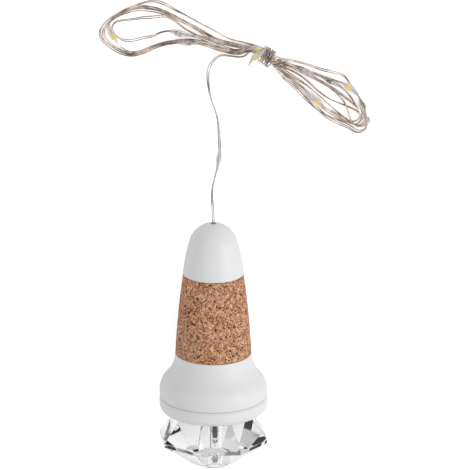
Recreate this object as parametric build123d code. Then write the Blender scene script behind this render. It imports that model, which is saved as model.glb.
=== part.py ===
from build123d import *
import math
import os

# Cork bottle light, lying on its side: the axis runs along +Y, nose towards +Y, floor at z = 0.
# A station is a distance behind the nose tip, measured along the axis.
# An azimuth turns about +Y from straight up (0) towards +X (90), in degrees.

# Lengths along the axis, from the nose tip back
nose_length = 14.5
cork_length = 23.4
flare_length = 12.6
seam_gap = 0.3
ring_height = 4.1
pavilion_height = 7.4
girdle_height = 1.0
crown_height = 6.8

# Outer radii of the stopper
nose_tip_radius = 6.9
nose_side_radius = 63.0
nose_base_radius = 8.42
cork_front_radius = 8.35
cork_middle_radius = 9.72
cork_back_radius = 10.55
rim_radius = 14.9
flare_hollow_radius = 9.35
rim_land_length = 2.0
lip_inset = 0.12
lip_length = 0.9
ring_edge_radius = 2.2
edge_radius = 0.25

# Button cells, three in a stack
cell_diameter = 11.6
cell_height = 5.4
cell_cap_diameter = 9.4
cell_cap_height = 0.7
cell_edge_radius = 0.35
cell_count = 3
cell_clearance = 0.2
cell_recess = 0.2

# Stem and mouth of the housing
stem_wall = 0.95
front_bore_radius = 5.4
mouth_depth = 3.6
core_inner_radius = 7.6
core_outer_radius = 9.4
core_depth = 6.1
glue_gap = 0.05
cut_overrun = 0.5

# Nose cap
nose_wall = 1.4
anchor_seat_station = 1.7
wire_hole_radius = 0.75
nose_plate = 1.2
nose_spigot_wall = 1.1
nose_spigot_length = 5.0

# Wires and their stop inside the nose
anchor_radius = 1.5
anchor_length = 3.0
anchor_edge_radius = 0.4
inner_wire_diameter = 0.3
inner_wire_spread = 0.35
solder_spacing = 1.6
solder_base_radius = 0.7
solder_top_radius = 0.3
solder_height = 0.7

# Terminal board, spring and contact strips
board_thickness = 0.8
board_clearance = 0.1
spring_length = 4.3
spring_base_radius = 4.3
spring_top_radius = 2.6
spring_wire = 0.6
spring_turns = 3
strip_width = 2.0
strip_thickness = 0.3
strip_clearance = 0.05
strip_foot_length = 0.9
pad_azimuth = 90.0

# Bayonet between the head and the housing
spigot_radius = 10.7
spigot_wall = 1.4
running_clearance = 0.1
spigot_end_gap = 0.3
lug_count = 3
lug_reach = 1.2
lug_thickness = 1.2
lug_width = 18.0
lug_setback = 0.5
groove_side_clearance = 0.2
groove_end_clearance = 1.0
release_turn = 25.0

# Twist ring
ring_plate = 1.5
plate_hole_radius = 2.1
pocket_radius = 9.2
ring_core_inner_radius = 11.5
ring_core_outer_radius = 13.4
ring_core_depth = 1.8
boss_radius = 1.5
boss_setback = 2.5

# Faceted head
facet_count = 8
head_overhang = 0.58
pavilion_top_radius = 10.0
table_radius = 6.0
head_plug_length = 2.5
head_bore_radius = 2.0
head_bore_depth = 11.9
head_bore_cone = 1.5

# Head board and what it carries
contact_thickness = 0.25
contact_width = 2.4
contact_gap = 0.1
contact_reach = 2.6
wiper_root_radius = 4.55
resistor_length = 3.2
resistor_width = 1.6
resistor_height = 0.55
screw_head_radius = 1.2
screw_head_height = 0.6
screw_radius = 0.6
screw_length = 3.2
screw_slot_width = 0.3
screw_slot_depth = 0.25

# Lamp in the head
lamp_radius = 1.5
lamp_flange_radius = 1.85
lamp_flange_height = 0.9
lamp_length = 5.3
lamp_tip_gap = 0.3
lead_width = 0.5
lead_spacing = 1.27
anvil_width = 1.3
anvil_tip_width = 1.1
anvil_thickness = 0.5
anvil_height = 2.0
post_height = 2.4
post_width = 0.45

# String of lights
string_diameter = 0.5
bend_share = 0.45
wire_sides = 6
strand_gap = 0.55
bundle_radius = 2.25
floor_level = 0.8
floor_gap = 0.06
waist_heading = -33.0
loop_turns = 5
tie_wraps = 5
tie_start = 6.2
tie_entry_reach = 4.6
bead_length = 4.6
bead_radius = 0.9
bead_end_radius = 0.4
bead_count = 12
first_bead = 21.0
last_bead_margin = 2.6
cut_end_length = 3.0
cut_end_splay = 0.25
cut_end_diameter = 0.22

# Stations worked out from the lengths
cork_end = nose_length + cork_length
mouth = cork_end + flare_length
ring_top = mouth + seam_gap
ring_bottom = ring_top + ring_height
girdle_top = ring_bottom + pavilion_height
girdle_bottom = girdle_top + girdle_height
table = girdle_bottom + crown_height
tip_y = table / 2
axis_height = rim_radius
gem_corner_radius = rim_radius + head_overhang
shelf = mouth - mouth_depth
stack_end = shelf - cell_recess
stack_start = stack_end - cell_count * cell_height
shoulder = stack_start - spring_length - board_thickness
bore_radius = cell_diameter / 2 + cell_clearance
stem_radius = bore_radius + stem_wall
mouth_radius = spigot_radius + running_clearance
pad_reach = spigot_radius - spigot_wall - running_clearance
twist_turn = 360.0 / facet_count
head_board_radius = spigot_radius - spigot_wall - 2 * board_clearance
boss_offset = head_board_radius - boss_setback
head_board_top = ring_top - board_thickness - ring_plate
# The stopper lies on its rim and on the one corner of the head that is level with it
corner_azimuth = 180 - math.degrees(math.acos(rim_radius / gem_corner_radius))


def along(station):
    return tip_y - station


def at(radius, station):
    return (radius, along(station))


def turned(*edges):
    return revolve(make_face(list(edges)), Axis.Y)


def chain(*points):
    # Straight edges through the points
    return [Line(a, b) for a, b in zip(points, points[1:])]


def rod(radius, start, end):
    # Round bar on the axis between two stations
    return turned(*chain(at(0, start), at(radius, start), at(radius, end), at(0, end), at(0, start)))


def tube(inner, outer, start, end):
    corners = [at(inner, start), at(outer, start), at(outer, end), at(inner, end), at(inner, start)]
    return turned(*chain(*corners))


def spun(shape, azimuth):
    return Rot(0, azimuth, 0) * shape


def block(low_radius, high_radius, width, start, end, azimuth=0):
    # Straight-sided block standing radially at an azimuth
    size = (width, end - start, high_radius - low_radius)
    middle = (0, along((start + end) / 2), (low_radius + high_radius) / 2)
    return spun(Pos(*middle) * Box(*size), azimuth)


def sector(inner, outer, start, end, middle_azimuth, width_deg):
    # Part of a tube that spans an angle
    corners = [at(inner, start), at(outer, start), at(outer, end), at(inner, end), at(inner, start)]
    swung = revolve(make_face(chain(*corners)), Axis.Y, revolution_arc=width_deg)
    return spun(swung, middle_azimuth - width_deg / 2 - 90)


# Nose cap
def nose_arcs(inset, first_radius, last_station):
    # Tip arc and side arc, tangent to each other, both moved in by one wall
    tip = nose_tip_radius
    side = nose_side_radius
    # The side arc's centre is a side radius from the cap's base edge and
    # side - tip from the tip arc's centre on the axis
    ax, ay = tip, 0.0
    bx, by = nose_length, nose_base_radius
    span = math.hypot(bx - ax, by - ay)
    reach = ((side - tip) ** 2 - side ** 2 + span ** 2) / (2 * span)
    rise = math.sqrt((side - tip) ** 2 - reach ** 2)
    ux, uy = (bx - ax) / span, (by - ay) / span
    cx, cy = ax + ux * reach + uy * rise, ay + uy * reach - ux * rise
    lean = math.atan2(ay - cy, ax - cx)

    def tip_point(angle):
        return at((tip - inset) * math.sin(angle), ax + (tip - inset) * math.cos(angle))

    def side_point(station):
        return at(cy + math.sqrt((side - inset) ** 2 - (station - cx) ** 2), station)

    begin = math.pi - math.asin(first_radius / (tip - inset))
    meet_station = ax + (tip - inset) * math.cos(lean)
    first = ThreePointArc(tip_point(begin), tip_point((begin + lean) / 2), tip_point(lean))
    middle = side_point((meet_station + last_station) / 2)
    second = ThreePointArc(tip_point(lean), middle, side_point(last_station))
    return first, second


def nose_cap():
    outer_tip, outer_side = nose_arcs(0, wire_hole_radius, nose_length)
    seat_drop = nose_tip_radius - anchor_seat_station
    seat_radius = math.sqrt((nose_tip_radius - nose_wall) ** 2 - seat_drop ** 2)
    plate_start = nose_length - nose_plate
    inner_tip, inner_side = nose_arcs(nose_wall, seat_radius, plate_start)
    spigot_radius_here = front_bore_radius - board_clearance
    spigot_bore = spigot_radius_here - nose_spigot_wall
    spigot_end = nose_length + nose_spigot_length
    rest = chain(
        outer_side @ 1,
        at(spigot_radius_here, nose_length),
        at(spigot_radius_here, spigot_end),
        at(spigot_bore, spigot_end),
        at(spigot_bore, plate_start),
        inner_side @ 1,
    )
    hole = chain(inner_tip @ 0, at(wire_hole_radius, anchor_seat_station), outer_tip @ 0)
    return turned(outer_tip, outer_side, *rest, inner_side, inner_tip, *hole)


def wire_anchor():
    end = anchor_seat_station + anchor_length
    stop = rod(anchor_radius, anchor_seat_station, end)
    return fillet(stop.edges().filter_by(GeomType.CIRCLE), anchor_edge_radius)


# Cork sleeve, a slightly barrelled taper with a straight bore
def cork_sleeve():
    bore = stem_radius + glue_gap
    middle = nose_length + cork_length / 2
    side = ThreePointArc(
        at(cork_front_radius, nose_length),
        at(cork_middle_radius, middle),
        at(cork_back_radius, cork_end),
    )
    rest = chain(side @ 1, at(bore, cork_end), at(bore, nose_length), side @ 0)
    return turned(side, *rest)


# Housing: the stem that holds the cells, and the flare that the head turns in
def flare_edges():
    # A hollow arc and a rim arc, tangent where they meet
    land_start = mouth - rim_land_length
    run = land_start - cork_end
    rise = rim_radius - cork_back_radius
    half_turn = math.atan2(rise, run)
    total = run / math.sin(2 * half_turn)
    rim_arc = total - flare_hollow_radius

    def hollow(angle):
        station = cork_end + flare_hollow_radius * math.sin(angle)
        return at(cork_back_radius + flare_hollow_radius * (1 - math.cos(angle)), station)

    def crest(angle):
        return at(rim_radius - rim_arc * (1 - math.cos(angle)), land_start - rim_arc * math.sin(angle))

    turn = 2 * half_turn
    first = ThreePointArc(hollow(0), hollow(turn / 2), hollow(turn))
    second = ThreePointArc(hollow(turn), crest(turn / 2), crest(0))
    lip = rim_radius - lip_inset
    land = chain(
        crest(0),
        at(rim_radius, mouth - lip_length - lip_inset),
        at(lip, mouth - lip_length),
        at(lip, mouth - edge_radius),
        at(lip - edge_radius, mouth),
    )
    return [first, second, *land]


def housing_blank():
    front = nose_length + glue_gap
    outside = flare_edges()
    last = outside[-1] @ 1
    rest = chain(
        last,
        at(mouth_radius, mouth),
        at(mouth_radius, shelf),
        at(bore_radius, shelf),
        at(bore_radius, shoulder),
        at(front_bore_radius, shoulder),
        at(front_bore_radius, front),
        at(stem_radius, front),
        at(stem_radius, cork_end),
        at(cork_back_radius, cork_end),
    )
    return turned(*outside, *rest)


def bayonet_grooves():
    # One groove for each lug, from its way in to past the switched-on place
    inner = mouth_radius - cut_overrun
    outer = spigot_radius + lug_reach + running_clearance
    lug_start = shelf + spigot_end_gap + lug_setback
    start = lug_start - groove_side_clearance
    end = lug_start + lug_thickness + groove_side_clearance
    low = -release_turn - lug_width / 2 - groove_end_clearance
    high = twist_turn + lug_width / 2 + groove_end_clearance
    way_in = lug_width + 2 * groove_end_clearance
    cuts = []
    for i in range(lug_count):
        turn = i * 360.0 / lug_count
        cuts.append(sector(inner, outer, start, end, turn + (low + high) / 2, high - low))
        cuts.append(sector(inner, outer, start, mouth + cut_overrun, turn - release_turn, way_in))
    return cuts


def strip_slots():
    # Channels that sink the two strips into the bore's wall and the shelf
    width = strip_width + 2 * strip_clearance
    depth = strip_thickness + 2 * strip_clearance
    back = bore_radius + strip_clearance + depth
    foot = shoulder + board_thickness
    cuts = []
    for turn in (pad_azimuth, pad_azimuth + 180):
        cuts.append(block(bore_radius - cut_overrun, back, width, foot, shelf, turn))
        reach = pad_reach + strip_clearance
        cuts.append(block(bore_radius - cut_overrun, reach, width, shelf - depth, shelf + cut_overrun, turn))
    return cuts


def stem_housing():
    core = tube(core_inner_radius, core_outer_radius, cork_end - cut_overrun, cork_end + core_depth)
    body = housing_blank() - core
    for cut in bayonet_grooves() + strip_slots():
        body -= cut
    return body


# Pieces inside the stem
def terminal_board():
    return rod(bore_radius - board_clearance, shoulder, shoulder + board_thickness)


def solder_joints():
    apex = shoulder - solder_height
    dome = turned(
        *chain(
            at(0, apex),
            at(solder_top_radius, apex),
            at(solder_base_radius, shoulder),
            at(0, shoulder),
            at(0, apex),
        )
    )
    return Compound([Pos(side * solder_spacing, 0, 0) * dome for side in (-1, 1)])


def inner_leads():
    # Two thin wires from the stop to the board
    begin = anchor_seat_station + anchor_length
    end = shoulder - solder_height
    quarter = (end - begin) / 4
    wires = []
    for side in (-1, 1):
        near = side * inner_wire_spread
        far = side * solder_spacing
        points = [
            (near, along(begin)),
            (near, along(begin + quarter)),
            (far, along(end - quarter)),
            (far, along(end)),
        ]
        path = FilletPolyline(*points, radius=quarter)
        section = Plane(path @ 0, z_dir=path % 0) * RegularPolygon(inner_wire_diameter / 2, wire_sides)
        wires.append(sweep(section, path))
    return Compound(wires)


def negative_spring():
    # Cone of round wire, its wide end on the board
    height = spring_length - spring_wire
    lean = math.degrees(math.atan2(spring_top_radius - spring_base_radius, height))
    path = Helix(height / spring_turns, height, spring_base_radius, cone_angle=lean)
    section = Plane(path @ 0, z_dir=path % 0) * RegularPolygon(spring_wire / 2, wire_sides)
    coil = sweep(section, path, is_frenet=True)
    foot = shoulder + board_thickness + spring_wire / 2
    return Pos(0, along(foot), 0) * Rot(90, 0, 0) * coil


def cell(index):
    start = stack_start + index * cell_height
    cap_end = start + cell_cap_height
    end = start + cell_height
    cap = cell_cap_diameter / 2
    can = cell_diameter / 2
    body = turned(
        *chain(
            at(0, start),
            at(cap, start),
            at(cap, cap_end),
            at(can - cell_edge_radius, cap_end),
            at(can, cap_end + cell_edge_radius),
            at(can, end - cell_edge_radius),
            at(can - cell_edge_radius, end),
            at(0, end),
            at(0, start),
        )
    )
    return body


def contact_strip(azimuth):
    # A foot on the board, a leg up the bore's wall and a pad on the shelf
    foot = shoulder + board_thickness
    inner = bore_radius + strip_clearance
    outer = inner + strip_thickness
    toe = inner - strip_foot_length
    leg = block(inner, outer, strip_width, foot, shelf, azimuth)
    sole = block(toe, outer, strip_width, foot, foot + strip_thickness, azimuth)
    pad = block(inner, pad_reach, strip_width, shelf - strip_thickness, shelf, azimuth)
    return leg + sole + pad


# Twist ring, the white collar of the head
def twist_ring():
    spigot_end = shelf + spigot_end_gap
    spigot_bore = spigot_radius - spigot_wall
    plate_end = ring_top + ring_plate
    soft = rim_radius - ring_edge_radius
    corner = ring_bottom - ring_edge_radius
    slant = ring_edge_radius * math.sin(math.pi / 4)
    edge = ThreePointArc(
        at(rim_radius, corner),
        at(soft + slant, corner + slant),
        at(soft, ring_bottom),
    )
    before = chain(
        at(spigot_bore, spigot_end),
        at(spigot_radius, spigot_end),
        at(spigot_radius, ring_top),
        at(rim_radius - edge_radius, ring_top),
        at(rim_radius, ring_top + edge_radius),
        at(rim_radius, corner),
    )
    after = chain(
        at(soft, ring_bottom),
        at(pocket_radius, ring_bottom),
        at(pocket_radius, plate_end),
        at(plate_hole_radius, plate_end),
        at(plate_hole_radius, ring_top),
        at(spigot_bore, ring_top),
        at(spigot_bore, spigot_end),
    )
    ring = turned(*before, edge, *after)
    ring -= tube(
        ring_core_inner_radius, ring_core_outer_radius, ring_top - cut_overrun, ring_top + ring_core_depth
    )
    lug_start = spigot_end + lug_setback
    for i in range(lug_count):
        turn = i * 360.0 / lug_count
        inner = spigot_radius - cut_overrun
        outer = spigot_radius + lug_reach
        ring += sector(inner, outer, lug_start, lug_start + lug_thickness, turn, lug_width)
    boss_start = head_board_top + board_thickness
    for side in (-1, 1):
        post = rod(boss_radius, boss_start, plate_end)
        pilot = rod(screw_radius, boss_start - cut_overrun, head_board_top + screw_length)
        ring += Pos(side * boss_offset, 0, 0) * post
        ring -= Pos(side * boss_offset, 0, 0) * pilot
    return ring


# Faceted head: flat facets between a seat, two girdle rings and a table
def gem_ring(radius, station):
    points = []
    for i in range(facet_count):
        turn = math.radians(corner_azimuth + i * 360 / facet_count)
        points.append((radius * math.sin(turn), along(station), radius * math.cos(turn)))
    return points


def facet(*points):
    return Face(Wire.make_polygon([Vector(*p) for p in points], close=True))


def crystal_head():
    rings = [
        gem_ring(pavilion_top_radius, ring_bottom),
        gem_ring(gem_corner_radius, girdle_top),
        gem_ring(gem_corner_radius, girdle_bottom),
        gem_ring(table_radius, table),
    ]
    faces = [facet(*rings[0]), facet(*rings[-1])]
    for near, far in zip(rings, rings[1:]):
        for i in range(facet_count):
            j = (i + 1) % facet_count
            faces.append(facet(near[i], near[j], far[j], far[i]))
    gem = Solid(Shell(faces))
    plug = rod(pocket_radius - running_clearance, ring_bottom - head_plug_length, ring_bottom)
    bore_end = ring_bottom + head_bore_depth
    bore = turned(
        *chain(
            at(0, ring_bottom - head_plug_length - cut_overrun),
            at(head_bore_radius, ring_bottom - head_plug_length - cut_overrun),
            at(head_bore_radius, bore_end),
            at(0, bore_end + head_bore_cone),
            at(0, ring_bottom - head_plug_length - cut_overrun),
        )
    )
    return gem + plug - bore


# Board in the head, its screws, contacts and resistor
def head_board():
    board = rod(head_board_radius, head_board_top, head_board_top + board_thickness)
    for side in (-1, 1):
        hole = rod(screw_radius + board_clearance, head_board_top - cut_overrun, ring_top)
        board -= Pos(side * boss_offset, 0, 0) * hole
    return board


def board_screws():
    screws = []
    for side in (-1, 1):
        head_start = head_board_top - screw_head_height
        head = rod(screw_head_radius, head_start, head_board_top)
        shank = rod(screw_radius, head_board_top, head_board_top + screw_length)
        slot = Pos(0, along(head_start), 0) * Box(
            2 * screw_head_radius + cut_overrun, 2 * screw_slot_depth, screw_slot_width
        )
        screws.append(Pos(side * boss_offset, 0, 0) * (head + shank - slot))
    return Compound(screws)


def leaf(points, thickness, width):
    # Bent strip: a line of points (radius, station) given a thickness along the axis
    far = [(r, s + thickness) for r, s in reversed(points)]
    corners = [at(r, s) for r, s in points + far]
    return extrude(make_face(chain(*corners, corners[0])), width / 2, both=True)


def positive_contact():
    face = head_board_top - contact_thickness
    tip = stack_end + contact_gap
    reach = contact_reach
    points = [
        (2 * reach, face),
        (reach, face),
        (contact_width / 4, tip),
        (-contact_width / 4, tip),
        (-contact_width / 2, tip + 2 * contact_thickness),
    ]
    return leaf(points, contact_thickness, contact_width)


def wiper_contacts():
    # Two spring leaves that reach the strips' pads when the head is turned on
    face = head_board_top - contact_thickness
    tip = shelf + contact_gap
    root = wiper_root_radius
    toe = pad_reach - contact_width / 2
    points = [
        (root, face),
        (root + contact_width / 2, face),
        (toe - contact_width / 4, tip),
        (toe, tip),
        (toe + contact_width / 4, tip + 2 * contact_thickness),
    ]
    wiper = leaf(points, contact_thickness, strip_width)
    turns = (pad_azimuth - twist_turn, pad_azimuth + 180 - twist_turn)
    return Compound([spun(wiper, turn - 90) for turn in turns])


def board_resistor():
    start = head_board_top + board_thickness
    size = (resistor_length, resistor_height, resistor_width)
    middle = along(start + resistor_height / 2)
    return Pos(0, middle, -(head_board_radius + plate_hole_radius) / 2) * Box(*size)


# Lamp in the head and its lead frame
def lamp_frame():
    lamp_tip = ring_bottom + head_bore_depth - lamp_tip_gap
    base = lamp_tip - lamp_length
    board_face = head_board_top + board_thickness
    half = lead_spacing / 2
    legs = []
    for side in (-1, 1):
        middle = along((board_face + base) / 2)
        leg = Box(lead_width, base - board_face, lead_width)
        legs.append(Pos(side * half, middle, 0) * leg)
    anvil_end = base + lamp_flange_height + anvil_height
    tip = anvil_tip_width / 2
    outline = make_face(
        chain(
            (half + lead_width / 2, along(base)),
            (half - lead_width / 2, along(base)),
            (half + lead_width / 2 - anvil_width, along(base + lamp_flange_height)),
            (half - tip, along(anvil_end)),
            (half + tip / 2, along(anvil_end)),
            (half + lead_width / 2, along(base)),
        )
    )
    anvil = extrude(outline, anvil_thickness / 2, both=True)
    post = Pos(-half, along(base + post_height / 2), 0) * Box(post_width / 2, post_height, anvil_thickness)
    return legs, anvil, post


def head_led():
    lamp_tip = ring_bottom + head_bore_depth - lamp_tip_gap
    base = lamp_tip - lamp_length
    shoulder_end = base + lamp_flange_height
    dome_start = lamp_tip - lamp_radius
    slant = lamp_radius * math.sin(math.pi / 4)
    dome = ThreePointArc(
        at(lamp_radius, dome_start), at(slant, dome_start + slant), at(0, lamp_tip)
    )
    lens = turned(
        *chain(
            at(0, base),
            at(lamp_flange_radius, base),
            at(lamp_flange_radius, shoulder_end),
            at(lamp_radius, shoulder_end),
            at(lamp_radius, dome_start),
        ),
        dome,
        *chain(at(0, lamp_tip), at(0, base)),
    )
    _, anvil, post = lamp_frame()
    return lens - anvil - post


def led_frame():
    legs, anvil, post = lamp_frame()
    return Compound([legs[0] + post, legs[1] + anvil])


# String of lights. Routes are in world places, floor at z = 0.
def hex_section(route, diameter):
    return Plane(route @ 0, z_dir=route % 0) * RegularPolygon(diameter / 2, wire_sides)


def swept_tube(name, route, diameter):
    # Six-sided tube along a route
    section = hex_section(route, diameter)
    solid = sweep(section, route)
    whole = section.area * route.length
    print(name, "length", round(route.length, 1), "volume", round(solid.volume, 2), "of", round(whole, 2))
    return solid


lead_points = [
    (0, along(anchor_seat_station), axis_height),
    (0.1, 37.9, 14.8),
    (-0.8, 42.6, 12.6),
    (-0.3, 46.9, 9.2),
    (0.3, 51.2, 6.0),
    (1.5, 55.8, 3.3),
    (1.6, 61.2, 1.3),
    (0.4, 66.4, 0.75),
    (-1.3, 71.0, 0.7),
    (-1.2, 75.0, 0.8),
    (1.4, 78.4, 0.8),
    (5.4, 78.9, 0.8),
]


def lead_route():
    # Each corner's arc is as large as its two runs allow
    points = [Vector(*p) for p in lead_points]
    radii = []
    for a, b, c in zip(points, points[1:], points[2:]):
        turn = math.radians((b - a).get_angle(c - b))
        shorter = min((b - a).length, (c - b).length)
        radii.append(bend_share * shorter / math.tan(turn / 2))
    print("lead radii", [round(r, 1) for r in radii])
    return FilletPolyline(*lead_points, radius=radii)


def biarc(start, start_dir, end, end_dir):
    # Two tangent arcs that join two places with their headings
    chord = end - start
    both = start_dir + end_dir
    spare = 2 * (1 - start_dir.dot(end_dir))
    lean = chord.dot(both)
    if spare < 1e-9:
        reach = chord.length ** 2 / (2 * lean)
    else:
        reach = (math.sqrt(lean ** 2 + spare * chord.dot(chord)) - lean) / spare
    near = start + start_dir * reach
    far = end - end_dir * reach
    joint = (near + far) * 0.5
    heading = (far - near).normalized()
    return [TangentArc(start, joint, tangent=start_dir), TangentArc(joint, end, tangent=heading)]


def through(nodes, straight):
    # Route of biarcs through places with headings, with one straight diameter at each end
    first, first_dir = nodes[0]
    last, last_dir = nodes[-1]
    pieces = [Line(first, first + first_dir * straight)]
    inner = [(first + first_dir * straight, first_dir)]
    inner += nodes[1:-1]
    inner.append((last - last_dir * straight, last_dir))
    for (a, da), (b, db) in zip(inner, inner[1:]):
        pieces += biarc(a, da, b, db)
    pieces.append(Line(last - last_dir * straight, last))
    return Wire([piece.edge() for piece in pieces])


def heading(turn_deg):
    turn = math.radians(turn_deg)
    return Vector(math.cos(turn), math.sin(turn), 0)


up = Vector(0, 0, 1)
pitch = string_diameter + strand_gap
tie_radius = bundle_radius + pitch
tie_level = tie_radius + string_diameter / 2 + floor_gap
waist_along = heading(waist_heading)
waist_side = heading(waist_heading + 90)


def lane(turns):
    # Loops spiral in to the middle of the coil and out again
    return abs(turns - loop_turns / 2)


def layer_rise(turns):
    # The climb to the second layer takes the half turn where the spiral reverses
    passed = (turns - loop_turns / 2 + climb_share / 2) / climb_share
    return pitch * min(max(passed, 0), 1)


def loop_place(turns, side, inner, outer, lift):
    # side is -1 on the way out, below, and 1 on the way back, above
    if inner is None:
        offset = side * (lane(turns) - loop_turns / 4) * pitch
        flat = Vector(*waist_spot, 0) + waist_side * offset
    else:
        spread = lane(turns) / (loop_turns / 2)
        flat = Vector(*inner, 0) + (Vector(*outer, 0) - Vector(*inner, 0)) * spread
    bundled = tie_level + side * pitch - pitch / 2
    return flat + up * (floor_level + (bundled - floor_level) * lift + layer_rise(turns))


def hank_nodes():
    first = Vector(*lead_points[-1])
    nodes = [(first, (first - Vector(*lead_points[-2])).normalized())]
    for loop in range(loop_turns + 1):
        for share, side, inner, outer, turn, lift in loop_stations:
            if loop + share < loop_turns + last_loop_share:
                nodes.append((loop_place(loop + share, side, inner, outer, lift), heading(turn)))
    nodes.append((tie_place(tie_start, tie_entry_reach, 0), waist_along * -1))
    return nodes


# Stations of a loop: share of the loop passed, side, innermost and outermost place, heading,
# and the share of the way up from the floor to the bundle. The waist's place comes from its lanes.
waist_spot = (14.8, 78.2)
last_loop_share = 0.4
climb_share = 0.5
loop_stations = [
    (0.00, -1, None, None, waist_heading, 1),
    (0.04, -1, (20.3, 73.8), (18.6, 71.2), -40.0, 0.9),
    (0.10, -1, (30.8, 65.0), (29.6, 61.9), -44.0, 0),
    (0.22, -1, (37.8, 62.0), (42.3, 58.2), 82.0, 0),
    (0.32, 1, (30.6, 70.8), (33.4, 73.9), 148.0, 0.2),
    (0.42, 1, (21.0, 74.8), (22.6, 77.6), 150.0, 0.9),
    (0.50, 1, None, None, waist_heading + 180, 1),
    (0.60, 1, (-2.2, 85.3), (-3.0, 88.2), 160.0, 1),
    (0.70, 1, (-16.6, 89.2), (-16.9, 96.0), 180.0, 0),
    (0.80, 1, (-26.8, 85.6), (-31.8, 85.3), 268.0, 0),
    (0.88, -1, (-21.8, 82.6), (-21.6, 78.9), -2.0, 0),
    (0.95, -1, (-2.8, 83.2), (-4.0, 80.4), -16.0, 1),
]


def tie_place(travel, reach, turn_deg):
    # Place on the winding: travel along the waist, reach and turn about it, north side first
    turn = math.radians(turn_deg)
    middle = Vector(*waist_spot, 0) + waist_along * travel + up * tie_level
    return middle + waist_side * (reach * math.cos(turn)) + up * (reach * math.sin(turn))


def tie_nodes():
    half_width = tie_wraps * pitch / 2
    nodes = [(tie_place(tie_start, tie_entry_reach, 0), waist_along * -1)]
    climb = tie_place(half_width + pitch / 2, tie_radius, 0) + up * (tie_radius / 2)
    nodes.append((climb, up))
    drop = pitch / (2 * math.pi * tie_radius)
    for quarter in range(4 * tie_wraps + 1):
        turn = 90 + 90 * quarter
        travel = half_width - pitch * quarter / 4
        across = math.radians(turn + 90)
        course = waist_side * math.cos(across) + up * math.sin(across) - waist_along * drop
        nodes.append((tie_place(travel, tie_radius, turn), course.normalized()))
    for travel, side, level, slope in tail_points:
        place = Vector(*waist_spot, 0) + waist_along * travel + waist_side * side + up * level
        nodes.append((place, (waist_side * -1 - up * slope).normalized()))
    return nodes


# Tail: travel along the waist, place beside it, height, and how steeply it falls there
tail_points = [
    (-2.8, -2.8, 4.6, 0.75),
    (-3.3, -5.7, 1.15, 0.2),
]


def self_gap(route, diameter, samples):
    # Least free gap between stretches of the route that aren't neighbours
    step = route.length / samples
    points = [route @ (i / samples) for i in range(samples + 1)]
    skip = int(3 * diameter / step) + 1
    cells = {}
    least = bead_length
    for i, p in enumerate(points):
        key = (int(p.X // bead_length), int(p.Y // bead_length), int(p.Z // bead_length))
        cells.setdefault(key, []).append(i)
    for (kx, ky, kz), here in cells.items():
        near = []
        for dx in (-1, 0, 1):
            for dy in (-1, 0, 1):
                for dz in (-1, 0, 1):
                    near += cells.get((kx + dx, ky + dy, kz + dz), [])
        for i in here:
            for j in near:
                if j - i > skip:
                    least = min(least, (points[i] - points[j]).length - diameter)
    return least


def bead_drop(route, place):
    # Clear drop strung on a route, at a length along it
    spot = route @ (place / route.length)
    course = route % (place / route.length)
    half = bead_length / 2
    side = ThreePointArc((bead_end_radius, -half), (bead_radius, 0), (bead_end_radius, half))
    ends = chain((bead_end_radius, half), (0, half), (0, -half), (bead_end_radius, -half))
    drop = revolve(make_face([side, *ends]), Axis.Y)
    middle = (spot.X, spot.Y, max(spot.Z, bead_radius + half * abs(course.Z)))
    return Plane(middle, z_dir=course) * Rot(90, 0, 0) * drop


def string_beads(routes):
    total = sum(route.length for route in routes)
    step = (total - first_bead - last_bead_margin) / (bead_count - 1)
    drops = []
    for i in range(bead_count):
        place = first_bead + i * step
        for route in routes:
            if place < route.length:
                drops.append(bead_drop(route, place))
                break
            place -= route.length
    print("string length", round(total, 1), "bead step", round(step, 1))
    return Compound(drops)


def cut_wire_ends(route):
    # The two bare wires that stick out of the last bead, cut short
    spot = route @ 1
    course = route % 1
    apart = course.cross(up).normalized()
    wires = []
    for side in (-1, 1):
        start = spot + apart * (side * cut_end_diameter / 2)
        aim = (course + apart * (side * cut_end_splay)).normalized()
        path = Line(start, start + aim * cut_end_length)
        wires.append(sweep(hex_section(path, cut_end_diameter), path))
    return Compound(wires)


def build():
    os.makedirs("parts", exist_ok=True)
    on_axis = {
        "nose_cap": nose_cap(),
        "wire_anchor": wire_anchor(),
        "inner_leads": inner_leads(),
        "cork_sleeve": cork_sleeve(),
        "stem_housing": stem_housing(),
        "terminal_board": terminal_board(),
        "solder_joints": solder_joints(),
        "negative_spring": negative_spring(),
        "negative_strip": contact_strip(pad_azimuth),
        "switched_strip": contact_strip(pad_azimuth + 180),
        "twist_ring": twist_ring(),
        "crystal_head": crystal_head(),
        "head_board": head_board(),
        "board_screws": board_screws(),
        "board_resistor": board_resistor(),
        "positive_contact": positive_contact(),
        "wiper_contacts": wiper_contacts(),
        "head_led": head_led(),
        "led_frame": led_frame(),
    }
    for i in range(cell_count):
        on_axis[f"cell_{i + 1}"] = cell(i)
    for name, shape in on_axis.items():
        export_step(Pos(0, 0, axis_height) * shape, os.path.join("parts", name + ".step"))
    lead = lead_route()
    hank = through(hank_nodes(), string_diameter)
    tie = through(tie_nodes(), string_diameter)
    print("hank gap to itself", round(self_gap(hank, string_diameter, 2400), 2))
    print("tie gap to itself", round(self_gap(tie, string_diameter, 600), 2))
    in_world = {
        "string_lead": swept_tube("lead", lead, string_diameter),
        "string_hank": swept_tube("hank", hank, string_diameter),
        "string_tie": swept_tube("tie", tie, string_diameter),
        "string_beads": string_beads([lead, hank, tie]),
        "cut_wire_ends": cut_wire_ends(tie),
    }
    for name, shape in in_world.items():
        export_step(shape, os.path.join("parts", name + ".step"))


build()
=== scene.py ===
import math
import bpy
import bmesh
import numpy as np
from mathutils import Matrix, Vector


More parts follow.
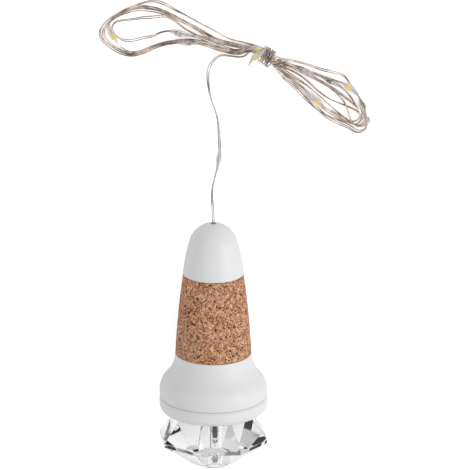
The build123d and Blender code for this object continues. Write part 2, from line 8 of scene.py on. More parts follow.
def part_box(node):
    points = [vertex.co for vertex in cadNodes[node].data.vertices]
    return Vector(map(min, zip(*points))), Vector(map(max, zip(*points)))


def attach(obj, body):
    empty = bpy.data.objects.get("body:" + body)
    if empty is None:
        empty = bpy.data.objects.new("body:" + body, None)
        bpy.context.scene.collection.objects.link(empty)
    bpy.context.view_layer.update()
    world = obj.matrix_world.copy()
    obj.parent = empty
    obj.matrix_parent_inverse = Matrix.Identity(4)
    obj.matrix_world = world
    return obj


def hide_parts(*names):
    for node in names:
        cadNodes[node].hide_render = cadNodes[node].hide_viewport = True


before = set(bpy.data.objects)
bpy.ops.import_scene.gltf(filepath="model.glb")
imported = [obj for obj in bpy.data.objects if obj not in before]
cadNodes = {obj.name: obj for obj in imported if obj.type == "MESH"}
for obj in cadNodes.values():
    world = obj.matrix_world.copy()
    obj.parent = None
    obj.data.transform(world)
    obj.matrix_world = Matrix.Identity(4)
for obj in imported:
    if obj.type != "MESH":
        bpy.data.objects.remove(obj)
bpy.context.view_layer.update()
mm = 0.001
print("frame loaded, nodes:", len(cadNodes))

ringLow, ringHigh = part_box("twist_ring")
axisHeight = (ringLow.z + ringHigh.z) / 2
noseTip = Vector((0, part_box("nose_cap")[1].y, axisHeight))


# camera: above the stopper, leaning a little towards its nose
shot = dict(lean=20.0, distance=4.0, frameWidth=0.1295, right=0.00598, down=0.00322, farthest=20)


def setCamera():
    lean = math.radians(shot["lean"])
    back = Vector((0, math.sin(lean), math.cos(lean)))
    upward = Vector((0, math.cos(lean), -math.sin(lean)))
    target = noseTip + Vector((shot["right"], 0, 0)) - upward * shot["down"]
    data = bpy.data.cameras.new("photoCamera")
    data.lens = data.sensor_width * shot["distance"] / shot["frameWidth"]
    data.clip_end = shot["farthest"]
    camera = bpy.data.objects.new("photoCamera", data)
    bpy.context.scene.collection.objects.link(camera)
    camera.location = target + back * shot["distance"]
    camera.rotation_mode = "QUATERNION"
    camera.rotation_quaternion = Matrix((Vector((1, 0, 0)), upward, back)).transposed().to_quaternion()
    bpy.context.scene.camera = camera


setCamera()
print("camera ready")


# small helpers for meshes
def meshFromArrays(name, places, faces):
    mesh = bpy.data.meshes.new(name)
    mesh.from_pydata(places.reshape(-1, 3).tolist(), [], faces)
    mesh.validate()
    mesh.update()
    thing = bpy.data.objects.new(name, mesh)
    bpy.context.scene.collection.objects.link(thing)
    return thing


def gridFaces(rows, columns, start=0):
    # quads between neighbouring rows of a grid that closes round its columns
    row, column = np.meshgrid(np.arange(rows - 1), np.arange(columns), indexing="ij")
    after = (column + 1) % columns
    corners = [row * columns + column, row * columns + after, (row + 1) * columns + after, (row + 1) * columns + column]
    return (np.stack(corners, -1).reshape(-1, 4) + start).tolist()


def loopFaces(rows, columns):
    # quads of a grid that closes round its rows as well, as a ring's skin does
    row, column = np.meshgrid(np.arange(rows), np.arange(columns), indexing="ij")
    below, after = (row + 1) % rows, (column + 1) % columns
    corners = [row * columns + column, row * columns + after, below * columns + after, below * columns + column]
    return np.stack(corners, -1).reshape(-1, 4).tolist()


def closedGrid(places, start=0):
    # rows of a closed skin: the first and last rows are closed by a fan from their middles
    rows, columns = places.shape[:2]
    middles = np.stack([places[0].mean(0), places[-1].mean(0)])
    points = np.concatenate([places.reshape(-1, 3), middles])
    faces = gridFaces(rows, columns, start)
    first, last = start + rows * columns, start + rows * columns + 1
    step = np.arange(columns)
    after = (step + 1) % columns
    top = start + (rows - 1) * columns
    faces += np.stack([np.full(columns, first), start + after, start + step], -1).tolist()
    faces += np.stack([np.full(columns, last), top + step, top + after], -1).tolist()
    return points, faces


def outwardFaces(thing):
    # turn every face so that it points out of its closed skin
    work = bmesh.new()
    work.from_mesh(thing.data)
    bmesh.ops.recalc_face_normals(work, faces=work.faces)
    work.to_mesh(thing.data)
    work.free()


def smoothUnder(thing, degrees):
    thing.data.shade_smooth()
    thing.data.set_sharp_from_angle(angle=math.radians(degrees))


def fullTurn(steps):
    return np.linspace(0, 2 * np.pi, steps, endpoint=False)


def along(station):
    # distance behind the nose tip in millimetres, to a place along Y in metres
    return noseTip.y - np.asarray(station, float) * mm


def aboutAxis(radius, station, turn):
    # radius and station in millimetres, turned about the stopper's axis: x = r sin, z = axis height + r cos
    radius = radius * mm
    return np.stack([radius * np.sin(turn), along(station) + 0 * turn, axisHeight + radius * np.cos(turn)], -1)


# small helpers for materials, with textures measured in millimetres
def startMaterial(name):
    made = bpy.data.materials.new(name)
    made.use_nodes = True
    tree = made.node_tree
    coords = tree.nodes.new("ShaderNodeTexCoord")
    scaled = tree.nodes.new("ShaderNodeMapping")
    scaled.inputs["Scale"].default_value = (1000, 1000, 1000)
    tree.links.new(coords.outputs["Object"], scaled.inputs["Vector"])
    return made, tree, tree.nodes["Principled BSDF"], scaled.outputs["Vector"]


def setSockets(node, values):
    for key, value in values.items():
        node.inputs[key].default_value = value


def noise(tree, where, scale, detail=3, rough=0.55, warp=0):
    node = tree.nodes.new("ShaderNodeTexNoise")
    setSockets(node, {"Scale": scale, "Detail": detail, "Roughness": rough, "Distortion": warp})
    tree.links.new(where, node.inputs["Vector"])
    return node


def cells(tree, where, scale, feature="F1"):
    node = tree.nodes.new("ShaderNodeTexVoronoi")
    node.feature = feature
    setSockets(node, {"Scale": scale, "Randomness": 1.0})
    tree.links.new(where, node.inputs["Vector"])
    return node


def ramp(tree, value, stops):
    # stops are (position, grey level or colour)
    node = tree.nodes.new("ShaderNodeValToRGB")
    band = node.color_ramp
    while len(band.elements) < len(stops):
        band.elements.new(0.5)
    for element, (place, shade) in zip(band.elements, stops):
        element.position = place
        element.color = (*shade, 1) if isinstance(shade, tuple) else (shade, shade, shade, 1)
    tree.links.new(value, node.inputs["Fac"])
    return node.outputs["Color"]


def blendColours(tree, share, first, second, kind="MIX"):
    node = tree.nodes.new("ShaderNodeMix")
    node.data_type = "RGBA"
    node.blend_type = kind
    for value, socket in ((share, node.inputs[0]), (first, node.inputs[6]), (second, node.inputs[7])):
        if isinstance(value, bpy.types.NodeSocket):
            tree.links.new(value, socket)
        else:
            socket.default_value = (*value, 1) if isinstance(value, tuple) else value
    return node.outputs[2]


def relief(tree, shader, height, depth, strength=1.0):
    # depth is the bump's real depth in metres
    node = tree.nodes.new("ShaderNodeBump")
    setSockets(node, {"Strength": strength, "Distance": depth})
    tree.links.new(height, node.inputs["Height"])
    tree.links.new(node.outputs["Normal"], shader.inputs["Normal"])


def whiteSatinPlastic():
    made, tree, shader, where = startMaterial("whiteSatinPlastic")
    flow = noise(tree, where, 0.09, 2).outputs["Fac"]
    tree.links.new(ramp(tree, flow, [(0.3, 0.775), (0.7, 0.80)]), shader.inputs["Base Color"])
    grain = noise(tree, where, 7.0, 4, 0.6).outputs["Fac"]
    tree.links.new(ramp(tree, grain, [(0.3, 0.40), (0.7, 0.50)]), shader.inputs["Roughness"])
    relief(tree, shader, grain, 0.000012, 0.5)
    setSockets(shader, {"IOR": 1.46})
    return made


corkLook = dict(granules=[(0.0, (0.44, 0.19, 0.10)), (0.35, (0.52, 0.25, 0.14)), (0.7, (0.60, 0.315, 0.183)),
                          (1.0, (0.67, 0.38, 0.235))],
                shades=[(0.40, (0.34, 0.25, 0.20)), (0.5, (1.03, 1.0, 0.98)), (0.61, (1.72, 1.88, 1.98))],
                fleck=(0.84, 0.60, 0.42), seam=(0.17, 0.06, 0.03), pore=(0.11, 0.036, 0.018),
                speck=(0.085, 0.028, 0.014),
                granuleScale=1.15, shadeScale=1.9, fleckScale=2.6, seamScale=0.95, patchScale=0.55, speckScale=2.1,
                warpScale=1.3, warpReach=0.7)


def corkGrain():
    # granules in four tones, shaded by a fine noise, with pale flecks, dark seams in patches, pores and dark specks
    look = corkLook
    made, tree, shader, where = startMaterial("corkGrain")
    warp = noise(tree, where, look["warpScale"], 3, 0.6).outputs["Color"]
    bent = tree.nodes.new("ShaderNodeVectorMath")
    bent.operation = "MULTIPLY_ADD"
    tree.links.new(warp, bent.inputs[0])
    bent.inputs[1].default_value = (look["warpReach"],) * 3
    tree.links.new(where, bent.inputs[2])
    bent = bent.outputs[0]
    granule = cells(tree, bent, look["granuleScale"])
    tone = ramp(tree, granule.outputs["Color"], look["granules"])
    fine = noise(tree, bent, look["shadeScale"], 3, 0.68, 1.2).outputs["Fac"]
    tone = blendColours(tree, 0.9, tone, ramp(tree, fine, look["shades"]), "MULTIPLY")
    flecks = ramp(tree, cells(tree, bent, look["fleckScale"]).outputs["Color"], [(0.76, 0.0), (0.84, 0.8)])
    tone = blendColours(tree, flecks, tone, look["fleck"])
    edges = cells(tree, bent, look["seamScale"], "DISTANCE_TO_EDGE").outputs["Distance"]
    seams = ramp(tree, edges, [(0.0, 0.8), (0.09, 0.0)])
    patches = ramp(tree, noise(tree, where, look["patchScale"], 2).outputs["Fac"], [(0.42, 0.0), (0.62, 1.0)])
    seams = blendColours(tree, 1.0, seams, patches, "MULTIPLY")
    tone = blendColours(tree, seams, tone, look["seam"])
    pore = tree.nodes.new("ShaderNodeAttribute")
    pore.attribute_name = "pore"
    tone = blendColours(tree, ramp(tree, pore.outputs["Fac"], [(0.22, 0.0), (0.55, 1.0)]), tone, look["pore"])
    specks = noise(tree, where, look["speckScale"], 2, 0.6, 1.2).outputs["Fac"]
    specks = ramp(tree, specks, [(0.595, 0.0), (0.628, 1.0)])
    tone = blendColours(tree, specks, tone, look["speck"])
    tree.links.new(tone, shader.inputs["Base Color"])
    tree.links.new(ramp(tree, fine, [(0.3, 0.92), (0.7, 0.74)]), shader.inputs["Roughness"])
    relief(tree, shader, fine, 0.00009, 0.8)
    setSockets(shader, {"Specular IOR Level": 0.25})
    return made


def clearCrystal():
    made, tree, shader, where = startMaterial("clearCrystal")
    setSockets(shader, {"Base Color": (0.95, 0.95, 0.955, 1), "Transmission Weight": 1.0, "IOR": 1.5})
    haze = noise(tree, where, 1.5, 4).outputs["Fac"]
    tree.links.new(ramp(tree, haze, [(0.45, 0.0), (0.75, 0.02)]), shader.inputs["Roughness"])
    relief(tree, shader, noise(tree, where, 0.18, 1).outputs["Fac"], 0.00001, 0.4)
    return made


def clearResin(name, tint):
    made, tree, shader, where = startMaterial(name)
    setSockets(shader, {"Base Color": (*tint, 1), "Transmission Weight": 1.0, "IOR": 1.5})
    cloud = noise(tree, where, 1.4, 3).outputs["Fac"]
    tree.links.new(ramp(tree, cloud, [(0.3, 0.02), (0.75, 0.14)]), shader.inputs["Roughness"])
    relief(tree, shader, cloud, 0.00004, 0.6)
    return made


def milkyResin(name, light, dark, cover):
    # soft resin that lets most of the light through to the chip in it
    made, tree, shader, where = startMaterial(name)
    cloud = noise(tree, where, 1.1, 3).outputs["Fac"]
    tree.links.new(ramp(tree, cloud, [(0.3, dark), (0.7, light)]), shader.inputs["Base Color"])
    tree.links.new(ramp(tree, cloud, [(0.3, 0.08), (0.75, 0.2)]), shader.inputs["Roughness"])
    setSockets(shader, {"Alpha": cover, "IOR": 1.5})
    relief(tree, shader, cloud, 0.00005, 0.6)
    return made


def metal(name, light, dark, smooth, rough, scale=2.5, metallic=1.0):
    # two tones of one metal mixed by a fine noise, which also varies its polish
    made, tree, shader, where = startMaterial(name)
    setSockets(shader, {"Metallic": metallic})
    mottle = noise(tree, where, scale, 4, 0.6).outputs["Fac"]
    tree.links.new(ramp(tree, mottle, [(0.3, dark), (0.7, light)]), shader.inputs["Base Color"])
    tree.links.new(ramp(tree, mottle, [(0.3, rough), (0.7, smooth)]), shader.inputs["Roughness"])
    relief(tree, shader, mottle, 0.000008, 0.4)
    return made


def enamelledWire(tones):
    # silvered copper under clear enamel: greyer on the lead, warmer in the hank, as the attribute says; along each wire
    # a noise swaps a pale and a dark tone, which are painted highlights and painted shade
    made, tree, shader, where = startMaterial("enamelledWire")
    setSockets(shader, {"Metallic": 1.0})
    mottle = noise(tree, where, 0.28, 4, 0.6).outputs["Fac"]
    warmth = tree.nodes.new("ShaderNodeAttribute")
    warmth.attribute_name = "warmth"
    # pale and dark tones of the wire: painted highlight and painted shade along each strand
    grey = ramp(tree, mottle, [(0.36, tones["leadShade"]), (0.64, tones["leadHighlight"])])
    warmSheenAndShade = ramp(tree, mottle, [(0.38, tones["dark"]), (0.62, tones["light"])])
    tree.links.new(blendColours(tree, warmth.outputs["Fac"], grey, warmSheenAndShade), shader.inputs["Base Color"])
    tree.links.new(ramp(tree, mottle, [(0.3, 0.30), (0.7, 0.16)]), shader.inputs["Roughness"])
    relief(tree, shader, mottle, 0.000008, 0.4)
    return made


def paint(name, light, dark, smooth, rough, scale=1.2, depth=0.00002, spread=(0.3, 0.7)):
    # matt or glossy coat with soft blotches
    made, tree, shader, where = startMaterial(name)
    blotch = noise(tree, where, scale, 4, 0.6).outputs["Fac"]
    tree.links.new(ramp(tree, blotch, [(spread[0], dark), (spread[1], light)]), shader.inputs["Base Color"])
    tree.links.new(ramp(tree, blotch, [(0.3, smooth), (0.7, rough)]), shader.inputs["Roughness"])
    relief(tree, shader, blotch, depth, 0.5)
    return made


plastic = whiteSatinPlastic()
crystal = clearCrystal()
lensResin = clearResin("lampResin", (0.98, 0.98, 0.97))
dropResin = milkyResin("dropResin", (0.95, 0.92, 0.925), (0.82, 0.775, 0.785), 0.45)
# wire tones, pale for painted highlights and dark for painted shade along the strands: warm in the hank, grey on the
# lead
wireSheenAndShadeTones = dict(light=(0.88, 0.745, 0.655), dark=(0.27, 0.20, 0.155),
                 leadHighlight=(0.62, 0.60, 0.575), leadShade=(0.30, 0.285, 0.27))
stringMetal = enamelledWire(wireSheenAndShadeTones)
frameMetal = metal("lampFrameMetal", (0.15, 0.085, 0.095), (0.06, 0.03, 0.035), 0.25, 0.4, metallic=0.7)
steel = metal("springSteel", (0.62, 0.62, 0.62), (0.48, 0.48, 0.49), 0.2, 0.35)
canNickel = metal("cellCan", (0.70, 0.69, 0.66), (0.55, 0.54, 0.52), 0.22, 0.4, 1.0)
bronze = metal("contactBronze", (0.78, 0.60, 0.33), (0.60, 0.42, 0.20), 0.25, 0.4)
tin = metal("solderTin", (0.72, 0.72, 0.74), (0.5, 0.5, 0.52), 0.15, 0.35)
zinc = metal("screwZinc", (0.60, 0.60, 0.62), (0.40, 0.40, 0.42), 0.25, 0.45, 4.0)
boardGreen = paint("solderMask", (0.05, 0.24, 0.11), (0.035, 0.17, 0.08), 0.25, 0.4)
glueDrop = paint("glueDrop", (0.80, 0.78, 0.72), (0.70, 0.67, 0.60), 0.25, 0.45)
chipBlack = paint("chipBlack", (0.05, 0.05, 0.05), (0.02, 0.02, 0.02), 0.4, 0.6)
phosphor = paint("yellowPhosphor", (0.89, 0.71, 0.25), (0.78, 0.60, 0.19), 0.35, 0.5, 3.0)
chipBody = paint("chipBody", (0.82, 0.80, 0.76), (0.70, 0.69, 0.66), 0.35, 0.5)
chipBack = paint("chipBack", (0.64, 0.60, 0.58), (0.06, 0.12, 0.075), 0.35, 0.5, 1.5, spread=(0.44, 0.52))


def dress(nodeName, material):
    thing = cadNodes[nodeName]
    thing.data.materials.clear()
    thing.data.materials.append(material)


for nodeName, material in (
    ("nose_cap", plastic), ("stem_housing", plastic), ("twist_ring", plastic),
    ("wire_anchor", glueDrop), ("inner_leads", stringMetal), ("terminal_board", boardGreen),
    ("solder_joints", tin), ("negative_spring", steel),
    ("cell_1", canNickel), ("cell_2", canNickel), ("cell_3", canNickel),
    ("negative_strip", bronze), ("switched_strip", bronze), ("head_board", boardGreen), ("board_screws", zinc),
    ("board_resistor", chipBlack), ("positive_contact", bronze), ("wiper_contacts", bronze),
):
    dress(nodeName, material)
print("materials ready")


# cork sleeve: a barrel with pores cut into it
corkSleeve = dict(front=14.52, back=37.88, frontRadius=8.32, middleRadius=9.70, backRadius=10.52, innerRadius=7.02,
                  columns=480, rows=176, innerRows=6, edgeRound=0.25, calmEdge=0.4, meanRadius=9.5, seed=11,
                  grainCount=900, grainSize=(0.35, 0.9), grainLift=(-0.035, 0.03), stretch=(1.0, 2.2),
                  poreCount=560, poreSize=(0.10, 0.29), poreDepth=(0.10, 0.26))


def corkSurface():
    # a ring section swept round the axis: radius follows a parabola through three radii; oval pores lower it by
    # sqrt(1 - x^2 - y^2), oval grains shift it by (1 - x^2 - y^2)^0.7, and nothing rises above the parabola
    s = corkSleeve
    rng = np.random.default_rng(s["seed"])
    turn = fullTurn(s["columns"])[None, :]
    share = np.linspace(0, 1, s["rows"])[:, None]
    station = s["front"] + (s["back"] - s["front"]) * share
    bow = 4 * s["middleRadius"] - 3 * s["frontRadius"] - s["backRadius"]
    lift = 2 * s["frontRadius"] + 2 * s["backRadius"] - 4 * s["middleRadius"]
    radius = s["frontRadius"] + bow * share + lift * share ** 2
    edge = np.minimum(station - s["front"], s["back"] - station)
    radius = radius - s["edgeRound"] * np.clip(1 - edge / s["edgeRound"], 0, 1) ** 2
    depth = np.zeros((s["rows"], s["columns"]))
    pore = np.zeros_like(depth)
    for i in range(s["grainCount"] + s["poreCount"]):
        isPore = i >= s["grainCount"]
        spotTurn, spotStation = rng.uniform(0, 2 * np.pi), rng.uniform(s["front"], s["back"])
        size = rng.uniform(*(s["poreSize"] if isPore else s["grainSize"]))
        stretch, lean = rng.uniform(*s["stretch"]), rng.uniform(0, np.pi)
        across = (np.mod(turn - spotTurn + np.pi, 2 * np.pi) - np.pi) * s["meanRadius"]
        down = station - spotStation
        longWay = (across * np.cos(lean) + down * np.sin(lean)) / (size * stretch)
        wideWay = (-across * np.sin(lean) + down * np.cos(lean)) / size
        bump = np.clip(1 - longWay ** 2 - wideWay ** 2, 0, 1)
        if isPore:
            depth -= rng.uniform(*s["poreDepth"]) * np.sqrt(bump)
            pore = np.maximum(pore, np.sqrt(bump))
        else:
            depth += rng.uniform(*s["grainLift"]) * bump ** 0.7
    outer = radius + np.minimum(depth, 0.0) * np.clip(edge / s["calmEdge"], 0, 1)
    inner = np.full((s["innerRows"], s["columns"]), s["innerRadius"])
    innerStation = np.linspace(s["back"], s["front"], s["innerRows"])[:, None]
    rings = np.concatenate([outer, inner])
    places = aboutAxis(rings, np.concatenate([station, innerStation]), turn)
    thing = meshFromArrays("corkSleeve", places, loopFaces(len(rings), s["columns"]))
    outwardFaces(thing)
    held = thing.data.attributes.new("pore", "FLOAT", "POINT")
    held.data.foreach_set("value", np.concatenate([pore, np.zeros_like(inner)]).astype(np.float32).ravel())
    smoothUnder(thing, 60)
    return thing


cork = corkSurface()
cork.data.materials.append(corkGrain())
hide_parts("cork_sleeve")
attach(cork, "root")
print("cork made")


# faceted head: eight flat facets in each ring, with a plug and a bore for the lamp
seat = (noseTip.y - ringLow.y) / mm  # station of the ring's end, which the head stands on
head = dict(facets=8, steps=64, cornerTurn=164.26, plugRadius=9.1, plugLength=2.5, seatCorner=10.0,
            girdleCorner=15.48, pavilion=7.4, girdle=1.0, tableCorner=6.0, crown=6.8, tableMiddle=0.3,
            boreRadius=2.0, boreDepth=11.9, coneDepth=1.38, coneTip=0.15, bevel=0.12, bevelAngle=22)


def facetedHead():
    # rows run from the bore's cone out of the bore, over the plug and the seat, and over the facets to the table;
    # an octagon's radius is its corner radius times cos(half a facet) / cos(angle from the facet's middle)
    h = head
    first = math.radians(h["cornerTurn"])
    facet = 2 * np.pi / h["facets"]
    turn = first + fullTurn(h["steps"])
    octagon = np.cos(facet / 2) / np.cos(np.mod(turn - first, facet) - facet / 2)
    widest = h["pavilion"] + h["girdle"]
    rows = [  # radius, station behind the seat, and 1 where the ring is an octagon
        (h["coneTip"], h["boreDepth"] + h["coneDepth"], 0), (h["boreRadius"], h["boreDepth"], 0),
        (h["boreRadius"], -h["plugLength"], 0), (h["plugRadius"], -h["plugLength"], 0), (h["plugRadius"], 0, 0),
        (h["seatCorner"], 0, 1), (h["girdleCorner"], h["pavilion"], 1), (h["girdleCorner"], widest, 1),
        (h["tableCorner"], widest + h["crown"], 1), (h["tableMiddle"], widest + h["crown"], 1),
    ]
    radius, station, cut = (np.array(column)[:, None] for column in zip(*rows))
    radius = radius * np.where(cut > 0, octagon, 1.0)
    points, faces = closedGrid(aboutAxis(radius, seat + station, turn))
    thing = meshFromArrays("crystalHead", points, faces)
    outwardFaces(thing)
    bevel = thing.modifiers.new("softEdges", "BEVEL")
    bevel.width = h["bevel"] * mm
    bevel.segments = 2
    bevel.limit_method = "ANGLE"
    bevel.angle_limit = math.radians(h["bevelAngle"])
    bevel.harden_normals = False
    return thing


gem = facetedHead()
smoothUnder(gem, 12)
gem.data.materials.append(crystal)
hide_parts("crystal_head")
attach(gem, "head")


# lamp in the head: clear lens round a dark lead frame
lamp = dict(radius=1.5, flange=1.85, flangeHeight=0.9, base=seat + 6.3, tip=seat + 11.6, steps=48, domeRows=13,
            footMiddle=0.4, footEdge=0.12, flangeEdge=0.1, fillet=0.02)


def lampLens():
    # revolve: flat base, flange, straight barrel, then a half circle dome
    p = lamp
    bend = np.linspace(0, math.pi / 2, p["domeRows"] + 1)[:-1]
    dome = [(p["radius"] * math.cos(b), p["tip"] - p["radius"] + p["radius"] * math.sin(b)) for b in bend]
    shoulder = p["base"] + p["flangeHeight"]
    rows = [(p["footMiddle"], p["base"]), (p["flange"] - p["footEdge"], p["base"]),
            (p["flange"], p["base"] + p["footEdge"]), (p["flange"], shoulder - p["flangeEdge"]),
            (p["flange"] - p["flangeEdge"], shoulder), (p["radius"] + p["fillet"], shoulder)] + dome
    radius, station = (np.array(column)[:, None] for column in zip(*rows))
    points, faces = closedGrid(aboutAxis(radius, station, fullTurn(p["steps"])))
    thing = meshFromArrays("lampLens", points, faces)
    outwardFaces(thing)
    return thing


lens = lampLens()
smoothUnder(lens, 40)
lens.data.materials.append(lensResin)
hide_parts("head_led")
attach(lens, "head")
dress("led_frame", frameMetal)

# cup that holds the lamp's chip, wide at its foot
cup = dict(foot=seat + 6.45, rim=seat + 9.6, footWide=2.0, rimWide=1.2, footThick=0.8, rimThick=0.6,
           rows=9, columns=32, squareness=0.35)


def reflectorCup():
    # loft of rounded rectangles: each side is a signed power of a circle's, narrowing evenly from foot to rim
    c = cup
    share = np.linspace(0, 1, c["rows"])[:, None]
    turn = fullTurn(c["columns"])[None, :]
    wide = (c["footWide"] + (c["rimWide"] - c["footWide"]) * share) / 2
    thick = (c["footThick"] + (c["rimThick"] - c["footThick"]) * share) / 2
    across = wide * np.sign(np.cos(turn)) * np.abs(np.cos(turn)) ** c["squareness"]
    upward = thick * np.sign(np.sin(turn)) * np.abs(np.sin(turn)) ** c["squareness"]
    station = c["foot"] + (c["rim"] - c["foot"]) * share + 0 * turn
    points, faces = closedGrid(np.stack([across * mm, along(station), axisHeight + upward * mm], -1))
    thing = meshFromArrays("reflectorCup", points, faces)
    outwardFaces(thing)
    smoothUnder(thing, 30)
    thing.data.materials.append(frameMetal)
    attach(thing, "head")
    return thing


reflectorCup()

# low step of the ring behind the seam, which keeps the groove shallow
seamStep = dict(outer=14.62, inner=13.8, top=50.53, foot=50.82, steps=240)


def ringSeamStep():
    # revolve: a rectangle from the inner to the outer radius, from its top to its foot
    s = seamStep
    radius = np.array([s["inner"], s["outer"], s["outer"], s["inner"]])[:, None]
    station = np.array([s["top"], s["top"], s["foot"], s["foot"]])[:, None]
    places = aboutAxis(radius, station, fullTurn(s["steps"]))
    thing = meshFromArrays("ringSeamStep", places, loopFaces(len(radius), s["steps"]))
    outwardFaces(thing)
    smoothUnder(thing, 40)
    thing.data.materials.append(plastic)
    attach(thing, "head")
    return thing


ringSeamStep()
print("head and lamp made")


# string of lights: two thin wires twisted about one line
string = dict(diameter=0.6, wire=0.30, leadWire=0.36, apart=0.56, leadApart=0.58, tieApart=0.24, leadEnd=38.0,
              leadBlend=14.0, tieLength=150.0, tieBlend=10.0, pitch=85.0, rock=0.7, rockReach=9.3, flutter=0.4,
              flutterReach=4.1, flutterStart=2.0, sides=8, fineness=12)

